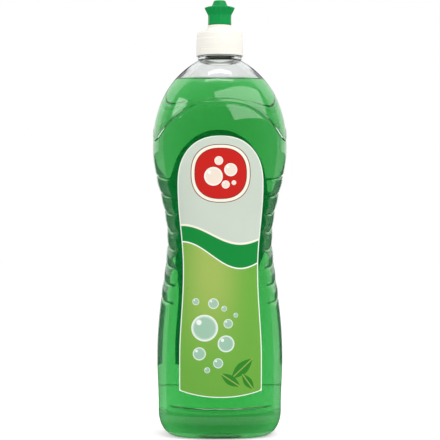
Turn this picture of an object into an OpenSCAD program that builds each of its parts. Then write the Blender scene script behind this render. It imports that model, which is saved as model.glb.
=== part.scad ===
// One litre washing-up liquid bottle with a screw cap and a push-pull spout.
// The front faces -Y, the width runs along X, and the origin is the centre of the foot.

/* [Body widths] */
// Width over the shoulder, the widest part of the body
shoulder_width = 88; // [82:1:96]
// Width at the waist, the narrowest part of the grip
waist_width = 68.6; // [64:0.2:74]
// Width of the lower belly
belly_width = 82.6; // [76:0.2:90]
// Width just above the rounded foot
foot_width = 80.4; // [74:0.2:86]
// Depth of the body from the front panel to the back panel
body_depth = 73; // [66:0.2:78]
// How much shallower the foot is than the body
foot_depth_step = 3; // [1:0.5:6]
// Squareness of the body's section, where 2 is an ellipse
section_power = 2.6; // [2.3:0.05:2.9]

/* [Body heights] */
// Height of the rounded corner at the foot
foot_round_height = 16; // [12:0.5:20]
// How far the rounded corner draws the foot in on each side
foot_round_inset = 11; // [8:0.5:14]
// Height of the lower belly above the table
belly_z = 51; // [44:1:58]
// Height of the waist above the table
waist_z = 126; // [120:1:132]
// Height of the shoulder above the table
shoulder_z = 188; // [184:1:192]
// Rise of the domed shoulder up to the neck
dome_rise = 57.9; // [50:0.1:64]
// Height of the domed push-up under the foot
push_up = 5; // [3:0.5:7]
// Width of the flat standing ring, as a share of the foot's half width
standing_share = 0.14; // [0.1:0.01:0.2]

/* [Wall and liquid] */
// Thickness of the blown wall
wall = 0.8; // [0.7:0.05:1.3]
// Height of the empty space between the liquid's surface and the neck's collar
headspace = 14.9; // [9.9:0.1:90]
// Gap between the liquid and the wall
liquid_gap = 0.2; // [0.15:0.05:0.5]

/* [Grip] */
// Number of grooves down each flank
groove_count = 8; // [4:1:9]
// Height of the lowest groove
groove_z = 90.7; // [88:0.1:96]
// Distance from groove to groove
groove_pitch = 11.4; // [8:0.1:12]
// Depth of a groove
groove_depth = 0.8; // [0.4:0.05:1.2]
// Half the height of a groove
groove_half = 1.9; // [1.2:0.1:2.6]
// Swell of the wall between two grooves
groove_swell = 0.35; // [0:0.05:0.6]
// Angle from the flank's middle at which a groove starts to run out
groove_full_angle = 27; // [20:1:30]
// Angle from the flank's middle at which a groove has run out
groove_end_angle = 41; // [36:1:43]
// How far a groove drops from the flank's middle to its ends
groove_drop = 2; // [0:0.25:4]

/* [Panels] */
// How far below the neck's collar the ridge over each panel has its highest point
ridge_below_neck = 26.9; // [24:0.1:34]
// How far the ridge has fallen at its span from the middle
ridge_fall = 23; // [15:0.5:25]
// Distance from the middle at which the ridge's fall is measured
ridge_span = 40; // [38:1:44]
// How far the ridge rises again over the middle of a flank
ridge_flank_rise = 11; // [0:0.5:12]
// Height of the ridge's band
ridge_width = 3; // [2:0.1:4]
// How far the ridge stands out
ridge_height = 0.4; // [0.2:0.05:0.6]
// How deep a panel is set in under its ridge
panel_depth = 0.4; // [0.2:0.05:0.5]
// Height over which a panel's lower edge and the ridge's two edges slope
panel_edge = 0.8; // [0.5:0.1:1.2]
// How far above the rounded foot the front panel begins
front_panel_rise = 3; // [1:0.5:8]
// How far above the rounded foot the back panel begins
back_panel_rise = 15; // [6:0.5:20]
// Angle from the flank's middle at which a panel begins
panel_start_angle = 34; // [28:1:40]
// Angle from the flank's middle at which a panel has its full depth
panel_full_angle = 49; // [44:1:54]

/* [Neck] */
// Diameter of the collar at the foot of the neck
collar_diameter = 29; // [28:0.1:30]
// How far the collar stands out over the blown neck below it
collar_ledge = 0.6; // [0.4:0.1:1]
// Height of the collar
collar_height = 2.4; // [1.5:0.1:4]
// Diameter of the neck above the collar
neck_diameter = 25; // [24:0.1:26]
// Diameter of the bore through the neck
bore_diameter = 20; // [18:0.1:21]
// Width of the step where the blown inside meets the bore
bore_step = 1; // [0.6:0.1:1.4]
// Height of the neck above the collar
finish_height = 13.6; // [12:0.1:16]

/* [Labels] */
// Greatest half width of the front label, near its top
front_label_half = 27.5; // [24:0.1:29]
// Half width of the front label at its waist
front_label_waist = 24; // [20:0.1:25]
// Half width of the front label near its foot
front_label_foot = 26.4; // [22:0.1:28]
// Lowest point of the front label
front_label_low = 27.5; // [24:0.5:34]
// How far the front label's highest point lies below the ridge's
front_label_drop = 24.5; // [20:0.5:36]
// Greatest half width of the back label
back_label_half = 23.5; // [18:0.1:27]
// Half width of the back label at its waist
back_label_waist = 17.4; // [15:0.1:24]
// Half width of the back label near its foot
back_label_foot = 21.6; // [17:0.1:26]
// Lowest point of the back label
back_label_low = 40; // [34:0.5:50]
// How far the back label's highest point lies below the ridge's
back_label_drop = 18.5; // [14:0.5:36]
// Height over which a label's top is arched
label_arch = 30.8; // [24:0.2:36]
// How far the corners of a label's lower edge stand above its middle
label_smile = 4.2; // [2:0.1:6]
// Thickness of the label film
label_thickness = 0.15; // [0.1:0.01:0.25]
// Gap between a label and the body
label_gap = 0.15; // [0.12:0.01:0.25]

/* [Screw cap] */
// Diameter of the cap at its lower rim
cap_diameter = 31; // [30.8:0.1:33]
// Diameter of the cap just under its rounded top edge
cap_top_diameter = 29.8; // [29.6:0.1:31]
// Gap between the neck's collar and the cap's lower rim
cap_gap = 0.3; // [0.2:0.05:0.6]
// Radial clearance between the neck and the skirt, which the thread fills
thread_room = 1.4; // [1.2:0.05:1.5]
// Thickness of the cap's flat top
deck_thickness = 1.4; // [1:0.1:1.8]
// Radius of the cap's rounded top edge
cap_round = 1.5; // [0.8:0.1:2]
// Diameter of the raised seat under the spout
seat_diameter = 15.8; // [15:0.1:17]
// Rise of the seat above the cap's flat top
seat_rise = 4.7; // [4:0.1:6]
// Diameter of the guide tube that the spout slides on
tube_diameter = 10.6; // [10:0.1:11.4]
// Diameter of the channel through the guide tube
channel_diameter = 7.2; // [6:0.1:7.8]
// Height of the guide tube above the seat
tube_height = 8.7; // [7:0.1:9.5]
// How far the bead at the tube's tip stands out
bead = 0.4; // [0.2:0.05:0.6]
// Height of the bead at the tube's tip
bead_height = 1.3; // [0.8:0.1:1.6]
// Diameter of the pin that closes the spout
pin_diameter = 3.5; // [3:0.1:4]
// Number of webs that hold the pin in the tube
web_count = 3; // [2:1:4]
// Thickness of a web
web_thickness = 1.1; // [0.8:0.1:1.4]
// Height of a web
web_height = 7; // [4:0.1:8]
// Length of the plug ring that seals the bore
plug_length = 3.2; // [2:0.1:5]
// Thickness of the plug ring
plug_thickness = 1.2; // [0.8:0.1:1.4]

/* [Sealing ring] */
// Thickness of the sealing ring on the neck's lip
seal_thickness = 0.9; // [0.6:0.1:1.5]
// Radial clearance at the sealing ring's two edges
seal_clearance = 0.2; // [0.15:0.05:0.4]

/* [Push-pull spout] */
// Diameter of the spout's barrel
barrel_diameter = 15.4; // [14.8:0.1:16.5]
// Height of the barrel below the flare
barrel_height = 6.5; // [5:0.1:8]
// Diameter of the flare's tips
flare_diameter = 20.2; // [18.5:0.1:22]
// Height of the flare
flare_height = 4.7; // [3:0.1:5.4]
// Rise of the flare's top from its tips to the nose
flare_slope = 1.3; // [0.5:0.1:2]
// Diameter of the nose at its foot
nose_diameter = 10.2; // [9.6:0.1:11]
// Diameter of the nose at its tip
nose_tip_diameter = 7.6; // [7.2:0.1:8.6]
// Height of the nose
nose_height = 3.6; // [3.2:0.1:5]
// Radius of the nose's rounded tip
nose_round = 0.7; // [0.3:0.1:1]
// Thickness of the nose's closing plate
nose_plate = 1.2; // [0.8:0.1:1.6]
// Number of flutes round the flare
flute_count = 18; // [12:1:20]
// Radius of a flute
flute_radius = 1.5; // [1:0.1:1.8]
// Depth of a flute at the flare's tips
flute_depth = 1; // [0.5:0.1:1.2]
// Gap between the seat and the closed spout
spout_gap = 0.3; // [0.2:0.05:0.5]
// Radial running clearance of the spout on its tube and its pin
running_clearance = 0.09; // [0.05:0.01:0.1]

/* [Hidden] */
$fn = 72;

// Shares that set the curve of the outline between its named widths
belly_ease = 0.76;
chest_ease = 1.1;
dome_rise_power = 2.35;
dome_width_power = 1.55;
label_arch_power = 2.3;
ridge_power = 2.5;

// Fineness of the lofted surfaces
segments = 40;
label_columns = 12;
label_rows_count = 12;
belly_count = 5;
inner_count = 15;
ridge_tries = 12;
least_step = 1;

// Small chamfers, steps and overlaps of the mouldings
edge = 0.3;
neck_edge = 0.4;
lip_edge = 0.5;
seat_edge = 0.4;
pin_edge = 0.5;
plug_lead = 0.8;
cap_step = 0.2;
cap_step_place = 0.7;
overlap = 0.3;
past = 1;

collar_radius = collar_diameter / 2;
blown_radius = collar_radius - collar_ledge;
neck_radius = neck_diameter / 2;
bore_radius = bore_diameter / 2;
neck_z = shoulder_z + dome_rise;
collar_top = neck_z + collar_height;
lip_z = collar_top + finish_height;
dome_reach = dome_rise
    / pow(1 - pow(2 * blown_radius / shoulder_width, dome_width_power), 1 / dome_rise_power);
neck_wall = blown_radius - bore_radius - bore_step;
fill_z = neck_z - headspace;
front_panel_low = foot_round_height + front_panel_rise;
back_panel_low = foot_round_height + back_panel_rise;
ridge_top = neck_z - ridge_below_neck;
ridge_foot = ridge_top - ridge_width;
front_label_top = ridge_top - front_label_drop;
back_label_top = ridge_top - back_label_drop;

cap_z = collar_top + cap_gap;
skirt_bore = neck_radius + thread_room;
ceiling_z = lip_z + seal_thickness;
deck_z = ceiling_z + deck_thickness;
seat_z = deck_z + seat_rise;
tube_radius = tube_diameter / 2;
tube_top = seat_z + tube_height;
channel_radius = channel_diameter / 2;
plug_radius = bore_radius - seal_clearance;

spout_z = seat_z + spout_gap;
flare_z = spout_z + barrel_height;
flare_top = flare_z + flare_height;
nose_z = flare_top + flare_slope;
spout_top = nose_z + nose_height;
spout_bore = tube_radius + bead + running_clearance;
spout_bead_bore = tube_radius + running_clearance;
orifice_radius = pin_diameter / 2 + running_clearance;

// Eased step from a to b while t runs from 0 to 1
function eased(a, b, t) = a + (b - a) * (1 - cos(180 * min(1, max(0, t)))) / 2;

// Share of a quarter round that is left at depth t below its top, from 1 to 0
function corner_share(z) = z >= foot_round_height ? 0
    : 1 - sqrt(1 - pow((foot_round_height - z) / foot_round_height, 2));

// Half the body's width at height z
function half_width(z) =
    z > shoulder_z ? shoulder_width / 2 *
        pow(1 - pow((z - shoulder_z) / dome_reach, dome_rise_power), 1 / dome_width_power)
    : z > waist_z ? eased(waist_width, shoulder_width,
        pow((z - waist_z) / (shoulder_z - waist_z), chest_ease)) / 2
    : z > belly_z ? eased(waist_width, belly_width,
        pow((waist_z - z) / (waist_z - belly_z), belly_ease)) / 2
    : eased(belly_width, foot_width, (belly_z - z) / (belly_z - foot_round_height)) / 2
        - foot_round_inset * corner_share(z);

// Share of the way from the blown neck, 0, to the full body, 1, on the dome
function dome_share(z) = z <= shoulder_z ? 1
    : max(0, (half_width(z) - blown_radius) / (shoulder_width / 2 - blown_radius));

// Half the body's depth at height z
function half_depth(z) = z > shoulder_z
    ? min(half_width(z), blown_radius) + (body_depth / 2 - blown_radius) * dome_share(z)
    : eased(body_depth / 2, (body_depth - foot_depth_step) / 2,
        (belly_z - z) / (belly_z - foot_round_height)) - foot_round_inset * corner_share(z);

// Squareness of the section at height z, which is round at the neck
function power_at(z) = 2 + (section_power - 2) * dome_share(z);

// Distance from the axis to a section of half sizes w and d, in the direction of an angle
function reach(angle, w, d, power) =
    pow(pow(abs(cos(angle)) / w, power) + pow(abs(sin(angle)) / d, power), -1 / power);

// Angle from the middle of the nearer flank
function flank_angle(angle) = abs(angle - 180 * round(angle / 180));

// How far a groove is still cut at an angle, from 1 to 0
function groove_share(angle) = eased(1, 0,
    (flank_angle(angle) - groove_full_angle) / (groove_end_angle - groove_full_angle));

// How far the rings drop towards the front and back at height z in the grip
function grip_drop(angle, z) = groove_drop * eased(0, 1, flank_angle(angle) / groove_end_angle)
    * eased(0, 1, (z - groove_z + 2 * groove_pitch) / groove_pitch)
    * eased(1, 0, (z - last_groove_z - groove_pitch / 2) / groove_pitch);

last_groove_z = groove_z + (groove_count - 1) * groove_pitch;
panel_drop_start = last_groove_z + groove_pitch / 2;

// Distance from the axis to the plain body at an angle and a height
function plain_reach(angle, z, inset = 0) =
    reach(angle, half_width(z) - inset, half_depth(z) - inset, power_at(z));

// Height of the ridge at an angle, found by halving the way to its arch again and again
function ridge_arch(angle, x) = ridge_top - ridge_fall * pow(x / ridge_span, ridge_power)
    + ridge_flank_rise * eased(1, 0, flank_angle(angle) / groove_full_angle);
function ridge_z(angle, z = ridge_top, left = ridge_tries) = left == 0 ? z
    : ridge_z(angle, (z + ridge_arch(angle, abs(cos(angle)) * plain_reach(angle, z))) / 2, left - 1);

// How far the rings of the shoulder drop, so that one of them runs along the ridge
function panel_drop(angle, z) = (ridge_top - ridge_z(angle))
    * eased(0, 1, (z - panel_drop_start) / (ridge_top - panel_drop_start))
    * eased(1, 0, (z - ridge_top) / (neck_z - ridge_top));

// How far a panel is set in at an angle: fully in its middle, and not at all on the flanks
function panel_share(angle) = eased(0, 1,
    (flank_angle(angle) - panel_start_angle) / (panel_full_angle - panel_start_angle));

// One ring of the body: grip and ridge push it out, front and back set the panels in, inset all of it
function body_ring(z, grip = 0, ridge = 0, front = 0, back = 0, inset = 0, drop = 1) = [
    for (i = [0 : segments - 1])
        let (angle = 360 * i / segments,
            level = z - drop * (grip_drop(angle, z) + panel_drop(angle, z)),
            far = plain_reach(angle, level, inset) + grip * groove_share(angle) + ridge
                - (angle > 180 ? front : back) * panel_share(angle))
        [far * cos(angle), far * sin(angle), level]
];

// A ring set at another height, and shrunk towards the axis
function raised_ring(ring, z, share = 1) = [for (p = ring) [p[0] * share, p[1] * share, z]];

// Heights of the rings from the table to the neck, without the grip
function corner_level(t) = foot_round_height * (1 - sin(t));
belly_start = back_panel_low + panel_edge;
belly_levels = [for (i = [0 : belly_count])
    belly_start + (groove_z - groove_half - belly_start) * i / (belly_count + 1)];
chest_levels = [(last_groove_z + groove_half + shoulder_z) / 2, shoulder_z];
dome_levels = [for (t = [9 : 9 : 90]) shoulder_z + dome_rise * sin(t)];

// Height and swell of each ring in the grip, four for each groove
grip_levels = [
    for (i = [0 : groove_count - 1]) let (z = groove_z + i * groove_pitch) each [
        [z - groove_half, 0], [z, -groove_depth], [z + groove_half, 0],
        if (i < groove_count - 1) [z + groove_pitch / 2, groove_swell]
    ]
];

// Wall thickness at height z: it grows behind the panels, under the grip and towards the neck
function wall_at(z) = wall
    + panel_depth * eased(0, 1, (z - foot_round_height) / foot_round_height)
        * eased(1, 0, (z - shoulder_z) / (ridge_top - shoulder_z))
    + (groove_depth - panel_depth) * eased(0, 1, (z - groove_z + 2 * groove_pitch) / groove_pitch)
        * eased(1, 0, (z - last_groove_z - groove_half) / groove_pitch)
    + (neck_wall - wall) * eased(0, 1, (z - neck_z + dome_rise / 3) / (dome_rise / 3));

// Closed solid through a list of rings, each with the same number of points
module loft(rings) {
    n = len(rings[0]);
    top = (len(rings) - 1) * n;
    sides = [
        for (k = [0 : len(rings) - 2], i = [0 : n - 1])
            let (j = (i + 1) % n, a = k * n + i, b = k * n + j, c = b + n, d = a + n)
            each [[a, d, c], [a, c, b]]
    ];
    ends = [[for (i = [0 : n - 1]) i], [for (i = [n - 1 : -1 : 0]) top + i]];
    polyhedron([for (ring = rings) each ring], concat(sides, ends));
}

// Rings of a base with its domed push-up, from the middle out to the standing ring
function base_rings(foot_ring, z, rise) = [
    for (t = [80 : -20 : 0]) raised_ring(foot_ring, z + rise * sin(t), (1 - standing_share) * cos(t)),
    foot_ring
];

// One ring of the body where both panels have their full depth
function panelled_ring(z, grip = 0) = body_ring(z, grip = grip, front = panel_depth, back = panel_depth);

// Outer form of the blown body, from the foot into the neck's collar
module body_form() {
    foot_ring = body_ring(0);
    loft(concat(
        base_rings(foot_ring, 0, push_up),
        [for (t = [72 : -18 : 0]) body_ring(corner_level(t))],
        [body_ring(front_panel_low), body_ring(front_panel_low + panel_edge, front = panel_depth),
            body_ring(back_panel_low, front = panel_depth)],
        [for (z = belly_levels) panelled_ring(z)],
        [for (level = grip_levels) panelled_ring(level[0], grip = level[1])],
        [for (z = chest_levels) panelled_ring(z)],
        [for (z = dome_levels) if (z < ridge_foot - ridge_width) panelled_ring(z)],
        [panelled_ring(ridge_foot - panel_edge), body_ring(ridge_foot, ridge = ridge_height),
            body_ring(ridge_top - panel_edge, ridge = ridge_height), body_ring(ridge_top)],
        [for (z = dome_levels) if (z > ridge_top + least_step) body_ring(z)],
        [body_ring(neck_z + collar_height / 4)]
    ));
}

// Inside of the blown body, or the liquid in it, set in by a further gap and cut at a height
module inner_form(gap, top) {
    low = wall + gap;
    foot_floor = raised_ring(body_ring(0), low);
    levels = concat([(foot_round_height + belly_z) / 2], inner_levels, dome_levels);
    loft(concat(
        base_rings(foot_floor, low, push_up),
        [for (t = [72 : -18 : 0]) corner_ring(t, low)],
        [for (z = levels) if (z < top - least_step) inner_ring(z, gap)],
        [inner_ring(top, gap)]
    ));
}

// Heights of the smooth inner rings between the belly and the shoulder
inner_levels = [for (i = [0 : inner_count]) belly_z + (shoulder_z - belly_z) * i / inner_count];

// One ring of the inside at height z
function inner_ring(z, gap) = body_ring(z, inset = wall_at(z) + gap, drop = 0);

// One ring of the inside round the foot's corner, set in at right angles to it by low
function corner_ring(t, low) = let (z = corner_level(t))
    raised_ring(body_ring(z, inset = low * cos(t), drop = 0), z + low * sin(t));

module bottle() color([0.86, 0.9, 0.88, 0.45]) difference() {
    union() {
        body_form();
        rotate_extrude() polygon([
            [0, neck_z], [collar_radius, neck_z], [collar_radius, collar_top - neck_edge],
            [collar_radius - neck_edge, collar_top], [neck_radius, collar_top],
            [neck_radius, lip_z - lip_edge], [neck_radius - lip_edge, lip_z], [0, lip_z]
        ]);
    }
    inner_form(0, neck_z);
    translate([0, 0, neck_z - wall]) cylinder(r = bore_radius, h = lip_z - neck_z + 2 * wall);
}

module liquid() color([0.08, 0.66, 0.27, 0.85]) inner_form(liquid_gap, fill_z);

// Where the front panel's surface lies in front of the axis, at a place across and up it
function panel_y(x, z) = panel_depth * panel_share(atan2(half_depth(z), abs(x)))
    - half_depth(z) * pow(1 - pow(abs(x) / half_width(z), power_at(z)), 1 / power_at(z));

// Half width of a label's side at height z, between its foot, waist and widest part
function label_side(z, foot, waist, widest, arch_z) = z > waist_label_z
    ? eased(waist, widest, (z - waist_label_z) / (arch_z - waist_label_z))
    : eased(waist, foot, (waist_label_z - z) / (waist_label_z - belly_z));

waist_label_z = (waist_z + groove_z) / 2;

// Heights and half widths of a label's rows, from its smiling lower edge to its arched top
function label_rows(low, top, foot, waist, widest) =
    let (arch_z = top - label_arch, side_z = low + label_smile) [
        for (t = [0.1, 0.25, 0.5, 0.75, 1])
            [low + label_smile * t * t, t * label_side(side_z, foot, waist, widest, arch_z)],
        for (i = [1 : label_rows_count]) let (z = side_z + (arch_z - side_z) * i / label_rows_count)
            [z, label_side(z, foot, waist, widest, arch_z)],
        for (t = [18, 36, 54, 68, 78, 85])
            [arch_z + label_arch * pow(sin(t), 2 / label_arch_power),
                widest * pow(cos(t), 2 / label_arch_power)]
    ];

// One row of the film as a thin closed loop that follows the panel
function film_ring(z, half) = let (xs = [for (i = [0 : label_columns]) half * (2 * i / label_columns - 1)]) [
    for (i = [0 : label_columns]) [xs[i], panel_y(xs[i], z) - label_gap - label_thickness, z],
    for (i = [label_columns : -1 : 0]) [xs[i], panel_y(xs[i], z) - label_gap, z]
];

module label_film(rows) loft([for (row = rows) film_ring(row[0], row[1])]);

module front_label() color([0.82, 0.85, 0.78]) label_film(label_rows(
    front_label_low, front_label_top, front_label_foot, front_label_waist, front_label_half));

module back_label() color([0.9, 0.92, 0.9]) rotate([0, 0, 180]) label_film(label_rows(
    back_label_low, back_label_top, back_label_foot, back_label_waist, back_label_half));

module sealing_ring() color([0.93, 0.93, 0.9]) translate([0, 0, lip_z]) difference() {
    cylinder(r = skirt_bore - seal_clearance, h = seal_thickness);
    translate([0, 0, -past]) cylinder(r = bore_radius, h = seal_thickness + 2 * past);
}

// Points of a quarter round from straight up to straight in, about a centre
function round_points(centre, radius) =
    [for (t = [0 : 15 : 90]) centre + radius * [cos(t), sin(t)]];

module screw_cap() color([0.98, 0.965, 0.93]) {
    cap_radius = cap_diameter / 2;
    top_radius = cap_top_diameter / 2;
    seat_radius = seat_diameter / 2;
    step_z = cap_z + (deck_z - cap_z) * cap_step_place;
    seat_foot_z = deck_z + seat_rise / 2;
    plug_inner = plug_radius - plug_thickness;
    hollow_radius = seat_radius - deck_thickness;
    tip_radius = tube_radius + bead;
    rotate_extrude() polygon(concat(
        [[skirt_bore, cap_z], [cap_radius - edge, cap_z], [cap_radius, cap_z + edge],
            [top_radius + 2 * cap_step, step_z], [top_radius + cap_step, step_z + cap_step]],
        round_points([top_radius - cap_round, deck_z - cap_round], cap_round),
        [[seat_radius + cap_round, seat_foot_z - seat_edge], [seat_radius, seat_foot_z + seat_edge],
            [seat_radius, seat_z - seat_edge], [seat_radius - seat_edge, seat_z],
            [tube_radius, seat_z], [tube_radius, tube_top - bead_height],
            [tip_radius, tube_top - bead_height + bead], [tip_radius, tube_top - bead],
            [tube_radius, tube_top], [channel_radius, tube_top],
            [channel_radius, seat_z - deck_thickness], [hollow_radius, seat_z - deck_thickness],
            [hollow_radius, seat_foot_z - deck_thickness],
            [plug_inner, ceiling_z + seat_edge], [plug_inner, ceiling_z - plug_length],
            [plug_radius - plug_lead / 2, ceiling_z - plug_length],
            [plug_radius, ceiling_z - plug_length + plug_lead],
            [plug_radius, ceiling_z], [skirt_bore, ceiling_z]]
    ));
    pin_foot = tube_top - web_height;
    pin_straight = spout_top - edge - pin_edge - pin_foot;
    translate([0, 0, pin_foot]) {
        cylinder(r = pin_diameter / 2, h = pin_straight);
        translate([0, 0, pin_straight])
            cylinder(r1 = pin_diameter / 2, r2 = pin_diameter / 2 - pin_edge, h = pin_edge);
        for (i = [0 : web_count - 1]) rotate([0, 0, 90 + i * 360 / web_count])
            translate([0, -web_thickness / 2, 0])
                cube([channel_radius + overlap, web_thickness, web_height - bead]);
    }
}

module push_pull_spout() color([0, 0.58, 0.28]) difference() {
    barrel_radius = barrel_diameter / 2;
    flare_radius = flare_diameter / 2;
    nose_radius = nose_diameter / 2;
    nose_bore = nose_tip_diameter / 2 - nose_plate / 2;
    bead_top = spout_z + bead_height;
    tip_centre = [nose_tip_diameter / 2 - nose_round, spout_top - nose_round];
    rotate_extrude() polygon(concat(
        [[spout_bead_bore, spout_z], [barrel_radius - edge, spout_z], [barrel_radius, spout_z + edge],
            [barrel_radius, flare_z], [flare_radius, flare_top], [flare_radius - edge, flare_top + edge],
            [nose_radius + edge, nose_z], [nose_radius, nose_z + edge]],
        round_points(tip_centre, nose_round),
        [[orifice_radius, spout_top], [orifice_radius, spout_top - nose_plate],
            [nose_bore, spout_top - nose_plate], [nose_bore, nose_z],
            [spout_bore, nose_z - spout_bore + nose_bore], [spout_bore, bead_top + bead],
            [spout_bead_bore, bead_top]]
    ));
    flute_run = flare_height + barrel_height / 4;
    flute_tilt = atan((flare_radius - flute_depth - barrel_radius + overlap) / flute_run);
    for (i = [0 : flute_count - 1]) rotate([0, 0, i * 360 / flute_count])
        translate([flare_radius - flute_depth + flute_radius / cos(flute_tilt), 0, flare_top])
            rotate([0, flute_tilt, 0])
                translate([0, 0, -barrel_height - flare_height])
                    cylinder(r = flute_radius, h = 2 * (barrel_height + flare_height), $fn = 24);
}

bottle();
liquid();
front_label();
back_label();
sealing_ring();
screw_cap();
push_pull_spout();
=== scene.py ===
"""The look of a one litre bottle of green washing-up liquid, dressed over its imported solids."""

import math
from functools import lru_cache
import bpy
import bmesh
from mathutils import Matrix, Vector


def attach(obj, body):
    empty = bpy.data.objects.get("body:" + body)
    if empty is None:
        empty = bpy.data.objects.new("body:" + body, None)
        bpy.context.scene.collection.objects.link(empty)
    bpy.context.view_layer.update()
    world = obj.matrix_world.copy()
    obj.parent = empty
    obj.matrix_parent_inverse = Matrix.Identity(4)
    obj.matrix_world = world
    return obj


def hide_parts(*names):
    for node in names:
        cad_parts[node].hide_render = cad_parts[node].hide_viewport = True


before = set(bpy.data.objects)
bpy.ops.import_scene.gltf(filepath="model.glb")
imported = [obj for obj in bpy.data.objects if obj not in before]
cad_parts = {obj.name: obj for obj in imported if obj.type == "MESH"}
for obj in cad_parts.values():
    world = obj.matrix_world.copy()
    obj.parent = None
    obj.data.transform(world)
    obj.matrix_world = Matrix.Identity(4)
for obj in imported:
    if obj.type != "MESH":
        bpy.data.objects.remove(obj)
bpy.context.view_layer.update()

# Sizes of the solids, in millimetres and degrees, as part.scad has them
SHOULDER_WIDTH = 88.0
WAIST_WIDTH = 68.6
BELLY_WIDTH = 82.6
FOOT_WIDTH = 80.4
BODY_DEPTH = 73.0
FOOT_DEPTH_STEP = 3.0
SECTION_POWER = 2.6
FOOT_ROUND_HEIGHT = 16.0
FOOT_ROUND_INSET = 11.0
BELLY_Z = 51.0
WAIST_Z = 126.0
SHOULDER_Z = 188.0
DOME_RISE = 57.9
PUSH_UP = 5.0
STANDING_SHARE = 0.14
WALL = 0.8
GROOVE_COUNT = 8
GROOVE_Z = 90.7
GROOVE_PITCH = 11.4
GROOVE_DEPTH = 0.8
GROOVE_HALF = 1.9
GROOVE_SWELL = 0.35
GROOVE_FULL_ANGLE = 27.0
GROOVE_END_ANGLE = 41.0
GROOVE_DROP = 2.0
COLLAR_RADIUS = 14.5
COLLAR_LEDGE = 0.6
COLLAR_HEIGHT = 2.4
NECK_RADIUS = 12.5
BORE_RADIUS = 10.0
BORE_STEP = 1.0
FINISH_HEIGHT = 13.6
RIDGE_TOP = 219.0
RIDGE_FALL = 23.0
RIDGE_SPAN = 40.0
RIDGE_FLANK_RISE = 11.0
RIDGE_WIDTH = 3.0
PANEL_DEPTH = 0.4
PANEL_START_ANGLE = 34.0
PANEL_FULL_ANGLE = 49.0
BELLY_EASE = 0.76
CHEST_EASE = 1.1
DOME_RISE_POWER = 2.35
DOME_WIDTH_POWER = 1.55
RIDGE_POWER = 2.5

BLOWN_RADIUS = COLLAR_RADIUS - COLLAR_LEDGE
NECK_WALL = BLOWN_RADIUS - BORE_RADIUS - BORE_STEP
NECK_Z = SHOULDER_Z + DOME_RISE
COLLAR_TOP = NECK_Z + COLLAR_HEIGHT
LIP_Z = COLLAR_TOP + FINISH_HEIGHT
LAST_GROOVE_Z = GROOVE_Z + (GROOVE_COUNT - 1) * GROOVE_PITCH
DOME_REACH = DOME_RISE / (
    1 - (2 * BLOWN_RADIUS / SHOULDER_WIDTH) ** DOME_WIDTH_POWER) ** (1 / DOME_RISE_POWER)

MM = 0.001


def eased(a, b, t):
    """Eased step from a to b while t runs from 0 to 1."""
    return a + (b - a) * (1 - math.cos(math.pi * min(1, max(0, t)))) / 2


def corner_share(z):
    """How much of the foot's rounded corner is still to come at height z."""
    if z >= FOOT_ROUND_HEIGHT:
        return 0
    return 1 - math.sqrt(max(0, 1 - ((FOOT_ROUND_HEIGHT - z) / FOOT_ROUND_HEIGHT) ** 2))


def half_width(z):
    """Half the body's width at height z."""
    if z > SHOULDER_Z:
        rise = min(1, (z - SHOULDER_Z) / DOME_REACH)
        return SHOULDER_WIDTH / 2 * (1 - rise ** DOME_RISE_POWER) ** (1 / DOME_WIDTH_POWER)
    if z > WAIST_Z:
        return eased(WAIST_WIDTH, SHOULDER_WIDTH, ((z - WAIST_Z) / (SHOULDER_Z - WAIST_Z)) ** CHEST_EASE) / 2
    if z > BELLY_Z:
        return eased(WAIST_WIDTH, BELLY_WIDTH, ((WAIST_Z - z) / (WAIST_Z - BELLY_Z)) ** BELLY_EASE) / 2
    side = eased(BELLY_WIDTH, FOOT_WIDTH, (BELLY_Z - z) / (BELLY_Z - FOOT_ROUND_HEIGHT)) / 2
    return side - FOOT_ROUND_INSET * corner_share(z)


def dome_share(z):
    """Share of the way from the blown neck, 0, to the full body, 1, on the dome."""
    if z <= SHOULDER_Z:
        return 1
    return max(0, (half_width(z) - BLOWN_RADIUS) / (SHOULDER_WIDTH / 2 - BLOWN_RADIUS))


def half_depth(z):
    """Half the body's depth at height z."""
    if z > SHOULDER_Z:
        return min(half_width(z), BLOWN_RADIUS) + (BODY_DEPTH / 2 - BLOWN_RADIUS) * dome_share(z)
    shallow = eased(0, FOOT_DEPTH_STEP / 2, (BELLY_Z - z) / (BELLY_Z - FOOT_ROUND_HEIGHT))
    return BODY_DEPTH / 2 - shallow - FOOT_ROUND_INSET * corner_share(z)


def power_at(z):
    """Squareness of the section at height z."""
    return 2 + (SECTION_POWER - 2) * dome_share(z)


def reach(angle, w, d, power):
    """Distance from the axis to a section of half sizes w and d."""
    return (abs(math.cos(angle) / w) ** power + abs(math.sin(angle) / d) ** power) ** (-1 / power)


def flank_angle(angle):
    """Degrees from the middle of the nearer flank."""
    turn = math.degrees(angle)
    return abs(turn - 180 * round(turn / 180))


PANEL_DROP_START = LAST_GROOVE_Z + GROOVE_PITCH / 2
RIDGE_FOOT = RIDGE_TOP - RIDGE_WIDTH

# Forms that differ from the solids', in millimetres and degrees: a front ridge that stands out more,
# panel edges with a bead below them, and grip grooves that are narrower, run on further and drop more
RIDGE_HEIGHT = 1.0
RIDGE_FLANK_HEIGHT = 0.25
RIDGE_BACK_HEIGHT = 0.4
RIDGE_EDGE = 0.6
PANEL_EDGE = 0.7
FRONT_PANEL_EDGE = 1.4
BACK_PANEL_EDGE = 0.5
PANEL_BEAD = 0.6
BEAD_REACH = 2.0
FRONT_PANEL_LOW = 19.5
PANEL_SMILE = 2.0
BACK_PANEL_LOW = 31.0
GROOVE_SHARPER = 0.7
GROOVE_LONGER = 9.0
GROOVE_MORE_DROP = 1.4
DROP_END = 229.0


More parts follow.
